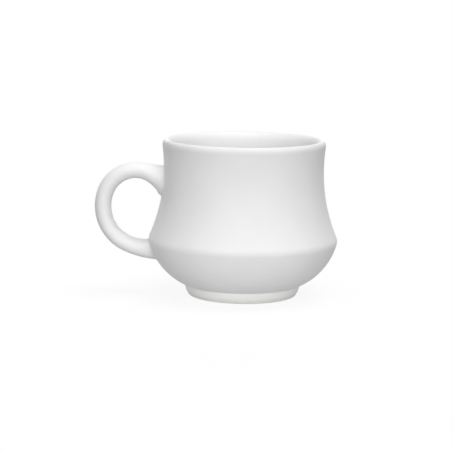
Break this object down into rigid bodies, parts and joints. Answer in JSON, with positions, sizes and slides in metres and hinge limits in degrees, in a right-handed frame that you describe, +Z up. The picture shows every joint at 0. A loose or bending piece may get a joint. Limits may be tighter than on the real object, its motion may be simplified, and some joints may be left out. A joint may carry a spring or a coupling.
{
  "type": "cappuccino cup",
  "caption": "Waisted stoneware cup with a keeled belly, a low foot ring and a loop handle, for holding and drinking coffee.",
  "frame": {"origin": "centre of the foot ring's bearing plane, on the cup's axis, at table height", "axes": "+Z up along the cup's axis, -X towards the handle, the handle lies in the XZ plane"},
  "size_m": [0.1138, 0.0884, 0.0732],
  "materials": {
    "stoneware": "bare fired white stoneware, fine grained and dry",
    "luting_slip": "fired slip of the same clay, smoothed with a wet sponge",
    "glaze": "opaque white satin glaze"
  },
  "bodies": {
    "root": {"cup_body": "stoneware", "handle_core": "stoneware", "upper_luting_joint": "luting_slip", "lower_luting_joint": "luting_slip", "outer_glaze": "glaze", "liner_glaze": "glaze", "base_glaze": "glaze", "handle_glaze": "glaze"}
  },
  "joints": []
}
